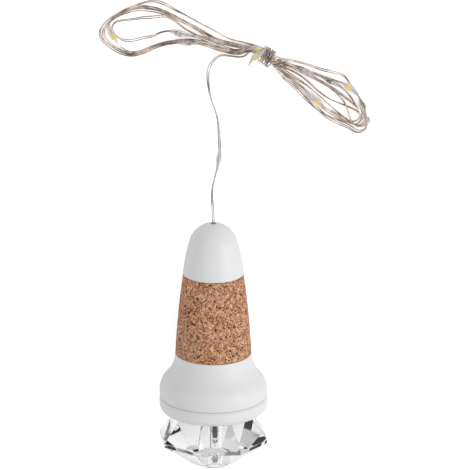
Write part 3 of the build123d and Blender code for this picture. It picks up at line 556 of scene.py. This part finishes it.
# the string's way in millimetres: out of the nose, then six turns of the hank
wayOut = [
    # nose to bundle
    (0.0, 33.2, 14.9), (0.1, 37.9, 14.8), (-0.6, 43.0, 12.3), (0.6, 47.2, 9.0), (1.9, 51.2, 6.0),
    (1.6, 55.8, 3.3), (1.3, 61.2, 1.3), (-0.7, 66.4, 0.56), (-1.5, 71.0, 0.51), (-1.5, 75.2, 0.51),
    (0.6, 78.3, 0.51), (2.4, 79.2, 0.53), (5.2, 78.8, 0.8), (8.5, 78.6, 1.2),
    # turn 1
    (10.6, 81.3, 1.6), (13.2, 79.6, 1.6), (15.7, 78.0, 1.6), (18.7, 73.6, 1.0), (21.1, 71.6, 0.5),
    (24.2, 68.7, 0.44), (26.4, 66.4, 0.44), (28.3, 63.9, 0.44), (30.5, 61.7, 0.44), (33.3, 59.6, 0.44),
    (36.6, 58.3, 0.44), (38.7, 56.9, 0.44), (40.3, 56.0, 0.44), (41.1, 56.0, 0.44), (41.8, 56.4, 0.45),
    (42.2, 57.2, 0.5), (42.3, 58.9, 0.6), (41.8, 61.7, 0.96), (41.0, 64.6, 0.97), (39.9, 68.0, 0.9),
    (37.8, 70.6, 0.6), (36.3, 73.1, 0.44), (33.3, 74.1, 0.44), (29.9, 74.8, 0.5), (26.1, 76.5, 0.9),
    (21.7, 78.0, 1.6), (18.4, 78.6, 2.8), (15.9, 80.2, 2.8), (13.4, 81.9, 2.8), (10.1, 82.9, 2.2),
    (7.4, 83.5, 1.8), (4.3, 84.1, 1.4), (1.6, 85.7, 1.0), (-1.2, 87.1, 0.6), (-4.2, 88.7, 0.44),
    (-7.2, 90.5, 0.44), (-10.6, 92.3, 0.44), (-13.6, 94.2, 0.44), (-16.6, 95.0, 0.44), (-19.9, 94.2, 0.44),
    (-22.9, 93.0, 0.44), (-26.0, 91.4, 0.44), (-29.0, 89.5, 0.44), (-30.9, 87.3, 0.44), (-31.4, 85.1, 0.44),
    (-30.5, 83.2, 0.44), (-28.5, 81.5, 0.44), (-26.3, 80.0, 0.44), (-23.8, 79.0, 0.44), (-21.0, 79.0, 0.44),
    (-18.3, 80.1, 0.44), (-15.5, 81.5, 0.44), (-12.5, 82.5, 0.6), (-8.6, 83.0, 0.86), (-4.5, 82.7, 0.86),
    (-0.9, 81.3, 0.8), (2.9, 80.2, 1.2), (7.4, 79.5, 1.5),
    # turn 2
    (11.0, 81.8, 1.6), (13.5, 80.1, 1.6), (16.0, 78.5, 1.6), (18.7, 74.6, 1.1), (21.7, 72.1, 0.8),
    (24.7, 69.6, 0.8), (27.5, 66.8, 0.8), (29.9, 64.2, 0.8), (32.7, 62.0, 0.8), (35.7, 60.2, 0.8),
    (38.0, 59.2, 0.8), (39.6, 58.4, 0.8), (40.5, 58.5, 0.8), (41.1, 59.0, 0.8), (41.3, 59.9, 0.8),
    (40.7, 61.6, 0.8), (39.3, 64.5, 0.8), (37.8, 67.3, 0.8), (35.7, 69.6, 0.86), (33.0, 71.5, 0.86),
    (29.9, 73.0, 0.9), (26.4, 74.6, 1.1), (22.5, 76.4, 1.7), (18.1, 78.1, 2.6), (15.6, 79.8, 2.6),
    (13.1, 81.4, 2.6), (9.8, 82.1, 1.8), (6.3, 82.8, 1.6), (2.7, 83.6, 1.4), (-0.6, 84.8, 1.1),
    (-3.7, 86.8, 0.8), (-7.0, 88.6, 0.8), (-10.0, 90.3, 0.8), (-12.8, 91.7, 0.8), (-15.8, 92.9, 0.8),
    (-19.4, 93.2, 0.8), (-22.7, 92.8, 0.8), (-25.7, 91.3, 0.8), (-28.5, 89.1, 0.8), (-30.2, 86.7, 0.8),
    (-30.2, 84.5, 0.8), (-28.7, 82.6, 0.8), (-26.3, 80.7, 0.8), (-23.5, 79.8, 0.8), (-20.7, 79.9, 0.8),
    (-17.7, 81.2, 0.8), (-14.7, 82.4, 0.8), (-11.4, 83.2, 0.8), (-7.5, 83.7, 0.8), (-3.4, 83.3, 0.9),
    (0.7, 81.9, 1.3), (6.6, 81.0, 2.6),
    # turn 3
    (11.2, 82.7, 3.9), (13.8, 81.0, 3.1), (16.3, 79.0, 1.9), (18.7, 75.3, 1.2), (22.0, 73.1, 1.1),
    (25.3, 70.9, 1.1), (28.3, 68.3, 1.1), (30.8, 65.9, 1.1), (33.5, 63.3, 1.1), (36.3, 60.9, 1.1),
    (38.6, 59.2, 1.1), (40.4, 58.1, 1.1), (41.7, 57.8, 1.1), (42.8, 58.5, 1.1), (42.7, 59.8, 1.1),
    (41.4, 61.9, 1.1), (39.2, 64.5, 1.1), (37.1, 66.4, 1.1), (34.6, 68.4, 1.1), (31.9, 70.2, 1.2),
    (28.8, 72.1, 1.3), (25.3, 74.0, 1.5), (22.0, 75.9, 1.9), (17.8, 77.6, 2.7), (15.3, 79.3, 2.7),
    (12.8, 80.9, 2.7), (9.8, 81.7, 1.9), (6.0, 82.4, 1.8), (2.1, 83.4, 1.6), (-1.5, 84.9, 1.4),
    (-4.8, 87.1, 1.2), (-8.1, 88.9, 1.1), (-11.1, 90.2, 1.1), (-14.1, 91.7, 1.1), (-17.4, 92.4, 1.1),
    (-21.0, 92.6, 1.1), (-24.0, 91.7, 1.1), (-27.4, 89.9, 1.1), (-29.6, 87.9, 1.1), (-30.5, 85.7, 1.1),
    (-29.6, 83.5, 1.1), (-27.4, 81.6, 1.1), (-24.9, 80.0, 1.1), (-22.1, 79.3, 1.1), (-19.4, 80.1, 1.1),
    (-16.6, 81.4, 1.1), (-13.6, 82.6, 1.1), (-10.3, 83.1, 1.1), (-6.4, 83.0, 1.2), (-2.6, 82.7, 1.3),
    (1.6, 81.3, 1.4), (6.3, 79.5, 1.5),
    # turn 4
    (10.5, 81.0, 2.1), (13.0, 79.4, 2.1), (15.5, 77.8, 2.1), (18.9, 76.2, 1.9), (22.2, 74.7, 1.6),
    (25.5, 72.4, 1.5), (28.8, 69.0, 1.5), (31.9, 66.6, 1.5), (35.2, 65.2, 1.5), (37.9, 64.1, 1.5),
    (40.1, 62.8, 1.5), (41.7, 61.4, 1.5), (42.1, 60.0, 1.55), (41.6, 58.7, 1.7), (40.4, 58.2, 1.9),
    (39.0, 58.7, 2.15), (38.1, 60.2, 2.35), (37.2, 63.0, 2.4), (36.4, 65.5, 2.0), (34.4, 68.0, 1.5),
    (31.6, 70.6, 1.6), (28.3, 72.6, 1.7), (25.0, 75.0, 2.0), (21.7, 77.2, 2.4), (18.0, 78.0, 3.2),
    (15.5, 79.6, 3.2), (13.0, 81.2, 3.2), (9.6, 82.7, 3.3), (5.7, 83.2, 3.0), (1.8, 83.4, 2.4),
    (-1.7, 84.3, 1.8), (-4.8, 85.4, 1.6), (-7.8, 87.0, 1.5), (-10.6, 89.5, 1.5), (-13.0, 91.0, 1.5),
    (-16.1, 90.5, 1.5), (-19.1, 90.4, 1.5), (-22.4, 89.8, 1.5), (-25.7, 89.5, 1.5), (-27.3, 88.9, 1.5),
    (-28.1, 87.7, 1.5), (-27.9, 86.3, 1.5), (-26.5, 84.7, 1.5), (-24.3, 83.6, 1.5), (-21.8, 83.7, 1.5),
    (-19.4, 84.5, 1.5), (-16.6, 84.9, 1.5), (-14.1, 86.3, 1.5), (-11.4, 86.5, 1.5), (-8.3, 85.4, 1.5),
    (-4.8, 85.0, 1.6), (-1.2, 83.5, 1.8), (2.4, 82.1, 2.0), (6.8, 80.8, 2.2),
    # turn 5
    (10.8, 81.5, 2.1), (13.3, 79.9, 2.1), (15.8, 78.3, 2.1), (18.4, 73.4, 1.4), (20.9, 71.5, 1.6),
    (23.6, 68.8, 1.8), (26.1, 66.0, 1.9), (28.3, 63.8, 1.9), (30.8, 62.1, 1.9), (33.8, 60.9, 1.9),
    (37.1, 59.5, 1.9), (39.1, 58.05, 1.9), (40.55, 57.0, 1.9), (41.45, 57.0, 1.9), (42.2, 57.45, 1.9),
    (42.6, 58.25, 1.9), (42.6, 59.6, 1.9), (42.2, 61.9, 1.9), (41.3, 66.2, 2.0), (38.2, 69.9, 2.1),
    (34.5, 72.1, 2.0), (31.3, 72.7, 2.0), (27.7, 74.4, 2.2), (23.6, 76.5, 2.5), (17.5, 77.2, 3.1),
    (15.0, 78.8, 3.1), (12.5, 80.5, 3.1), (9.6, 81.8, 2.8), (5.7, 82.3, 2.6), (1.8, 83.2, 2.4),
    (-1.2, 84.5, 2.2), (-3.9, 86.8, 2.0), (-7.2, 88.8, 1.9), (-10.6, 90.5, 1.9), (-13.6, 92.1, 1.9),
    (-16.9, 93.5, 1.9), (-20.2, 94.0, 1.9), (-23.5, 93.2, 1.9), (-26.8, 91.1, 1.9), (-28.9, 88.9, 1.9),
    (-28.4, 86.6, 1.9), (-26.9, 84.2, 1.9), (-25.7, 81.6, 1.9), (-22.9, 80.1, 1.9), (-20.2, 79.9, 1.9),
    (-17.4, 81.0, 1.9), (-14.7, 82.4, 1.9), (-11.7, 83.5, 1.9), (-8.1, 83.9, 1.9), (-3.9, 84.0, 2.0),
    (-0.1, 82.8, 2.3), (3.8, 81.4, 2.7), (7.6, 80.3, 2.9),
    # turn 6
    (11.2, 82.1, 2.1), (13.7, 80.4, 2.1), (16.2, 78.8, 2.1), (18.7, 75.3, 1.9), (21.7, 73.0, 2.0),
    (24.8, 70.4, 2.7), (28.1, 67.4, 3.1), (30.9, 64.2, 2.8), (33.9, 62.7, 2.2), (36.8, 60.8, 2.2),
    (38.9, 60.05, 2.2), (40.1, 60.2, 2.2), (40.9, 61.1, 2.2), (40.9, 62.3, 2.2), (40.1, 63.9, 2.2),
    (38.5, 65.6, 2.2), (36.0, 67.8, 2.2), (33.3, 69.6, 2.3), (30.2, 71.8, 2.4), (26.6, 73.9, 2.6),
    (23.1, 76.1, 2.9),
]


# the wraps round the hank's waist, in millimetres; entry rows are (along, aside, up) from the waist's middle
waist = dict(middle=(14.793, 79.413, 2.75), along=(0.83867, -0.54464, 0.0), side=(0.54464, 0.83867, 0.0),
             radius=2.35, points=41, perTurn=8, firstTurn=60, start=1.6, pitch=0.70, stray=0.10, slack=0.05,
             strayRate=1.9, slackRate=0.83, slackStart=1.0,
             entry=[(4.6, 1.6, 0.6), (2.6, 2.2, 0.9)],
             ending=[(12.9, 81.3, 5.1), (11.8, 80.4, 4.8), (10.8, 79.1, 4.1), (10.0, 77.6, 2.9)])


def tieTurns():
    # helix: middle + travel along the waist + reach (cos, sin) across it, with travel and reach strayed by slow sines
    w = waist
    middle, line, side = (np.array(w[key]) for key in ("middle", "along", "side"))
    upward = np.array([0, 0, 1.0])
    step = np.arange(w["points"])
    turn = np.radians(w["firstTurn"] + 360 / w["perTurn"] * step)
    travel = w["start"] - w["pitch"] * step / w["perTurn"] + w["stray"] * np.sin(w["strayRate"] * step)
    slack = w["slack"] * np.sin(w["slackRate"] * step + w["slackStart"])
    reach = w["radius"] / math.cos(math.pi / w["perTurn"]) * (1 + slack)
    wraps = (middle + travel[:, None] * line + (reach * np.cos(turn))[:, None] * side
             + (reach * np.sin(turn))[:, None] * upward)
    entry = [middle + ahead * line + aside * side + lift * upward for ahead, aside, lift in w["entry"]]
    return [tuple(p) for p in [*entry, *wraps, *w["ending"]]]


def smoothLine(name, points, fineness):
    # NURBS spline drawn by its control points, read back as points in metres without doubles
    data = bpy.data.curves.new(name, "CURVE")
    data.dimensions = "3D"
    spline = data.splines.new("NURBS")
    spline.points.add(len(points) - 1)
    flat = np.ones((len(points), 4))
    flat[:, :3] = np.array(points) * mm
    spline.points.foreach_set("co", flat.ravel())
    spline.order_u = 3
    spline.use_endpoint_u = True
    spline.resolution_u = fineness
    thing = bpy.data.objects.new(name, data)
    bpy.context.scene.collection.objects.link(thing)
    bpy.context.view_layer.update()
    mesh = bpy.data.meshes.new_from_object(thing.evaluated_get(bpy.context.evaluated_depsgraph_get()))
    places = np.empty(len(mesh.vertices) * 3)
    mesh.vertices.foreach_get("co", places)
    bpy.data.objects.remove(thing)
    bpy.data.meshes.remove(mesh)
    places = places.reshape(-1, 3)
    gaps = np.linalg.norm(np.diff(places, axis=0), axis=1)
    return places[np.concatenate([[True], gaps > 1e-7])]


def unit(rows):
    return rows / np.maximum(np.linalg.norm(rows, axis=-1, keepdims=True), 1e-12)


def lengthAlong(line):
    return np.concatenate([[0], np.cumsum(np.linalg.norm(np.diff(line, axis=0), axis=1))])


# lengths and radii in millimetres: a bend tighter than free is eased, and most from tight on
easing = dict(rounds=6, step=0.25, sigma=0.7, free=2.2, tight=1.7, spread=1.6)


def easeBends(line):
    # rounder bends: P' = P + w (G * P - P) a few times, with G a Gaussian along the line, and w rising from 0 to 1
    # while the bend's radius falls from free to tight, spread along the line by G too
    s = easing
    for _ in range(s["rounds"]):
        length = lengthAlong(line)
        even = np.linspace(0, length[-1], int(length[-1] / (s["step"] * mm)) + 1)
        line = np.stack([np.interp(even, length, line[:, k]) for k in range(3)], -1)
        reach = int(3 * s["sigma"] / s["step"])
        bell = np.exp(-0.5 * (np.arange(-reach, reach + 1) * s["step"] / s["sigma"]) ** 2)
        bell /= bell.sum()
        padded = np.pad(line, ((reach, reach), (0, 0)), "reflect", reflect_type="odd")
        soft = np.stack([np.convolve(padded[:, k], bell, "valid") for k in range(3)], -1)
        ahead = unit(np.gradient(line, axis=0))
        bend = np.linalg.norm(np.gradient(ahead, axis=0), axis=1) / s["step"]
        share = np.clip((bend - 1 / s["free"]) / (1 / s["tight"] - 1 / s["free"]), 0, 1)
        share = np.clip(s["spread"] * np.convolve(np.pad(share, reach, "edge"), bell, "valid"), 0, 1)
        line = line + share[:, None] * (soft - line)
    return line


# the finished way, its heading and the two directions across it, which lean to the waist's line in the wraps
route = easeBends(smoothLine("stringWay", wayOut + tieTurns(), string["fineness"]))
walked = lengthAlong(route)
stringLength = float(walked[-1])
heading = unit(np.gradient(route, walked, axis=0))
tieStart = stringLength - string["tieLength"] * mm
tieShare = np.clip((walked - tieStart) / (string["tieBlend"] * mm), 0, 1)[:, None]
reference = unit((1 - tieShare) * np.array([0, 0, 1.0]) + tieShare * np.array(waist["along"]))
acrossLine = unit(np.cross(reference, heading))
upLine = np.cross(heading, acrossLine)
print("string way:", round(stringLength, 4), "m in", len(route), "points")


def at(distance, rows):
    # a quantity kept along the route, read at distances in metres
    return np.stack([np.interp(distance, walked, rows[:, k]) for k in range(3)], -1)


def tubeAlong(line, sideways, upwards, radius, sides, start):
    # circle of that radius carried along a line of points with its two cross directions
    turn = fullTurn(sides)[None, :, None]
    radius = np.broadcast_to(radius, len(line))[:, None, None]
    places = line[:, None] + radius * (np.cos(turn) * sideways[:, None] + np.sin(turn) * upwards[:, None])
    return closedGrid(places, start)


def twistedWires():
    # each wire runs half the spacing off the route: it turns about it slowly, one turn a pitch, and rocks by two sines
    s = string
    rocking = s["rock"] * np.sin(walked / (s["rockReach"] * mm))
    flutter = s["flutter"] * np.sin(walked / (s["flutterReach"] * mm) + s["flutterStart"])
    phase = 2 * np.pi * walked / (s["pitch"] * mm) + rocking + flutter
    inHank = np.clip((walked / mm - s["leadEnd"]) / s["leadBlend"], 0, 1)
    apart = s["leadApart"] + (s["apart"] - s["leadApart"]) * inHank + (s["tieApart"] - s["apart"]) * tieShare[:, 0]
    wire = s["leadWire"] + (s["wire"] - s["leadWire"]) * inHank
    points, faces, count = [], [], 0
    for half in (0, np.pi):
        lean = (phase + half)[:, None]
        offset = (apart / 2 * mm)[:, None] * (np.cos(lean) * acrossLine + np.sin(lean) * upLine)
        more, quads = tubeAlong(route + offset, acrossLine, upLine, wire / 2 * mm, s["sides"], count)
        points.append(more)
        faces += quads
        count += len(more)
    thing = meshFromArrays("lightString", np.concatenate(points), faces)
    outwardFaces(thing)
    warmth = np.concatenate([np.repeat(inHank, s["sides"]), inHank[[0, -1]]])
    held = thing.data.attributes.new("warmth", "FLOAT", "POINT")
    held.data.foreach_set("value", np.tile(warmth, 2).astype(np.float32))
    smoothUnder(thing, 60)
    return thing


lightString = twistedWires()
lightString.data.materials.append(stringMetal)
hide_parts("string_lead", "string_hank", "string_tie")
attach(lightString, "root")


# resin drops: distance along the string in millimetres, roll of the chip from straight up in degrees, its shift along
# the string, and 1 where its yellow face looks out or -1 where its back does
drops = dict(length=7.2, radius=0.95, endRadius=0.24, flatness=0.86, fullness=1.9, taper=1.5, rows=31, columns=24,
             uneven=0.04, unevenRate=3.1, chipLong=1.7, chipWide=1.4, chipThick=0.5, chipLift=0.60,
             chipRows=13, chipColumns=28, squareness=0.28, faceLimit=0.8,
             places=[("A", 874.7, 0, 1.2, 1), ("B", 412.9, 0, -0.7, 1), ("C", 1062.6, 270, 0.2, 1),
                     ("D", 798.4, 0, 0.6, 1), ("E", 941.4, 270, 0.6, 1), ("F", 644, 0, 0.5, -1),
                     ("G", 222.6, 0, 0.5, -1), ("H", 723.8, 0, -0.5, -1), ("I", 294.7, 0, 0.6, -1),
                     ("J", 108.3, 300, 0.5, -1), ("K", 452.8, 300, -0.6, -1), ("L", 20.3, 98, 0, -1)])


def resinDrop(label, distance, roll, shift, side):
    # skin: ellipse sections on the string's own line, radius end + (middle - end) (1 - |u|^fullness)^taper;
    # chip: rounded box, each axis a signed power of a sphere's
    d = drops
    u = np.linspace(-1, 1, d["rows"])
    place = distance * mm + u * d["length"] / 2 * mm
    line, ahead = at(place, route), unit(at(place, heading))
    level, high = at(place, acrossLine), at(place, upLine)
    centre = len(u) // 2
    spin = math.radians(roll)
    facing = unit(math.cos(spin) * high + math.sin(spin) * level)
    beside = np.cross(ahead, facing)
    wobble = 1 + d["uneven"] * np.sin(d["unevenRate"] * u + distance)
    size = d["endRadius"] + (d["radius"] - d["endRadius"]) * (1 - np.abs(u) ** d["fullness"]) ** d["taper"] * wobble
    turn = fullTurn(d["columns"])[None, :, None]
    size = size[:, None, None] * mm
    skin = line[:, None] + size * (np.cos(turn) * beside[:, None] + d["flatness"] * np.sin(turn) * facing[:, None])
    points, faces = closedGrid(skin)
    upDown = np.linspace(-np.pi / 2, np.pi / 2, d["chipRows"] + 2)[1:-1, None]
    around = fullTurn(d["chipColumns"])[None, :]
    box = np.stack([np.cos(upDown) * np.cos(around), np.cos(upDown) * np.sin(around), np.sin(upDown) + 0 * around], -1)
    box = np.sign(box) * np.abs(box) ** d["squareness"]
    box = box / 2 * np.array([d["chipLong"], d["chipWide"], d["chipThick"]]) * mm
    spot = line[centre] + ahead[centre] * shift * mm + facing[centre] * d["chipLift"] * mm
    chip = spot + box[..., :1] * ahead[centre] + box[..., 1:2] * beside[centre] + box[..., 2:] * facing[centre]
    more, chipFaces = closedGrid(chip, len(points))
    thing = meshFromArrays("resinDrop" + label, np.concatenate([points, more]), faces + chipFaces)
    outwardFaces(thing)
    for material in (dropResin, phosphor, chipBody, chipBack):
        thing.data.materials.append(material)
    mesh = thing.data
    normal = np.empty(len(mesh.polygons) * 3)
    mesh.polygons.foreach_get("normal", normal)
    lookout = normal.reshape(-1, 3) @ facing[centre] * side
    number = np.where(lookout > d["faceLimit"], 1, np.where(lookout < -d["faceLimit"], 3, 2))
    number[:len(faces)] = 0  # the skin
    mesh.polygons.foreach_set("material_index", number.astype(np.int32))
    smoothUnder(thing, 50)
    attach(thing, "root")
    return thing


dropPieces = [resinDrop(*row) for row in drops["places"]]
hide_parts("string_beads")


# the string's cut ends: two bare wires that spread behind the last drop
cutEnds = dict(wire=0.22, sides=8, fineness=6,
               ways=[[(10.05, 77.7, 2.95), (9.85, 77.0, 2.1), (9.6, 76.3, 1.2), (9.4, 75.95, 0.5)],
                     [(10.0, 77.65, 3.05), (10.15, 76.7, 2.1), (10.25, 75.9, 1.2), (10.35, 75.5, 0.5)]])


def cutWireEnds():
    # round wire carried along each short smooth line
    c = cutEnds
    points, faces, count = [], [], 0
    for way in c["ways"]:
        line = smoothLine("cutWay", way, c["fineness"])
        ahead = unit(np.gradient(line, axis=0))
        level = unit(np.cross(np.array([0, 0, 1.0]), ahead))
        more, quads = tubeAlong(line, level, np.cross(ahead, level), c["wire"] / 2 * mm, c["sides"], count)
        points.append(more)
        faces += quads
        count += len(more)
    thing = meshFromArrays("cutWireEnds", np.concatenate(points), faces)
    outwardFaces(thing)
    smoothUnder(thing, 60)
    thing.data.materials.append(stringMetal)
    return thing


wireEnds = cutWireEnds()
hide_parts("cut_wire_ends")
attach(wireEnds, "root")
print("string, drops and cut ends made")


# stage: pale floor, world and lamps
studio = dict(floorSize=4.0, floorRows=8, floorHeight=0.0, floorColour=(0.8, 0.8, 0.8, 1), floorGlow=(0.60, 0.60, 0.60),
              glossyGlow=(0.36, 0.36, 0.36), glassGlow=(0.32, 0.32, 0.32), ambient=(0.70, 0.70, 0.70),
              keyPlace=(1.16, 0.14, 0.79), keySize=0.8, keyPower=6.9,
              fillPlace=(-0.3, -0.9, 0.9), fillSize=1.0, fillPower=0.4, aim=(0, 0, 0.01),
              riseStops=[(0.0, 1.0), (0.02, 0.9), (0.05, 0.02), (0.28, 0.02), (0.34, 0.5), (0.5, 1.0), (0.8, 1.0),
                         (0.97, 0.7)],
              patchScale=4.0, patchShift=(0.9, 6.3, 2.8), patchStops=[(0.43, 0.0), (0.48, 1.0)],
              toneScale=8.0, toneStops=[(0.38, 0.08), (0.46, 0.5), (0.53, 1.0)])


def pointedLamp(name, place, size, power):
    data = bpy.data.lights.new(name, "AREA")
    data.shape = "DISK"
    data.size = size
    data.energy = power
    thing = bpy.data.objects.new(name, data)
    bpy.context.scene.collection.objects.link(thing)
    thing.location = place
    thing.rotation_mode = "QUATERNION"
    thing.rotation_quaternion = (Vector(place) - Vector(studio["aim"])).to_track_quat("Z", "Y")


def paleFloor():
    # flat grid of quads at the height the object lies on
    half, rows = studio["floorSize"] / 2, studio["floorRows"]
    line = np.linspace(-half, half, rows + 1)
    x, y = np.meshgrid(line, line, indexing="ij")
    places = np.stack([x, y, np.full_like(x, studio["floorHeight"])], -1)
    i, j = np.meshgrid(np.arange(rows), np.arange(rows), indexing="ij")
    corner = i * (rows + 1) + j
    faces = np.stack([corner, corner + rows + 1, corner + rows + 2, corner + 1], -1).reshape(-1, 4).tolist()
    floor = meshFromArrays("paleFloor", places, faces)
    made = bpy.data.materials.new("paleFloor")
    made.use_nodes = True
    tree = made.node_tree
    shader = tree.nodes["Principled BSDF"]
    setSockets(shader, {"Base Color": studio["floorColour"], "Roughness": 0.9, "Specular IOR Level": 0.0})
    path = tree.nodes.new("ShaderNodeLightPath")
    glow = blendColours(tree, path.outputs["Is Glossy Ray"], (0.0, 0.0, 0.0), studio["glossyGlow"])
    glow = blendColours(tree, path.outputs["Is Transmission Ray"], glow, studio["glassGlow"])
    glow = blendColours(tree, path.outputs["Is Camera Ray"], glow, studio["floorGlow"])
    tree.links.new(glow, shader.inputs["Emission Color"])
    setSockets(shader, {"Emission Strength": 1.0})
    floor.data.materials.append(made)


def studioWorld():
    # white for the camera, even light on the object, and for gloss and glass a room with pale and dark patches
    world = bpy.data.worlds.new("studio")
    bpy.context.scene.world = world
    world.use_nodes = True
    tree = world.node_tree
    sky = tree.nodes["Background"]
    path = tree.nodes.new("ShaderNodeLightPath")
    coords = tree.nodes.new("ShaderNodeTexCoord")
    sides = tree.nodes.new("ShaderNodeSeparateXYZ")
    tree.links.new(coords.outputs["Generated"], sides.inputs[0])
    rise = ramp(tree, sides.outputs["Z"], studio["riseStops"])
    shifted = tree.nodes.new("ShaderNodeMapping")
    shifted.inputs["Location"].default_value = studio["patchShift"]
    tree.links.new(coords.outputs["Generated"], shifted.inputs["Vector"])
    patch = noise(tree, shifted.outputs["Vector"], studio["patchScale"], 1, 0.4)
    patch = ramp(tree, patch.outputs["Fac"], studio["patchStops"])
    tone = noise(tree, shifted.outputs["Vector"], studio["toneScale"], 2, 0.5)
    tone = ramp(tree, tone.outputs["Fac"], studio["toneStops"])
    room = blendColours(tree, patch, rise, tone)
    lit = tree.nodes.new("ShaderNodeMath")
    lit.operation = "MAXIMUM"
    tree.links.new(path.outputs["Is Glossy Ray"], lit.inputs[0])
    tree.links.new(path.outputs["Is Transmission Ray"], lit.inputs[1])
    tint = blendColours(tree, lit.outputs[0], studio["ambient"], room)
    tint = blendColours(tree, path.outputs["Is Camera Ray"], tint, (1.0, 1.0, 1.0))
    tree.links.new(tint, sky.inputs["Color"])


paleFloor()
studioWorld()
pointedLamp("keyLamp", studio["keyPlace"], studio["keySize"], studio["keyPower"])
pointedLamp("fillLamp", studio["fillPlace"], studio["fillSize"], studio["fillPower"])
bpy.context.scene.view_settings.view_transform = "Standard"
print("stage ready")
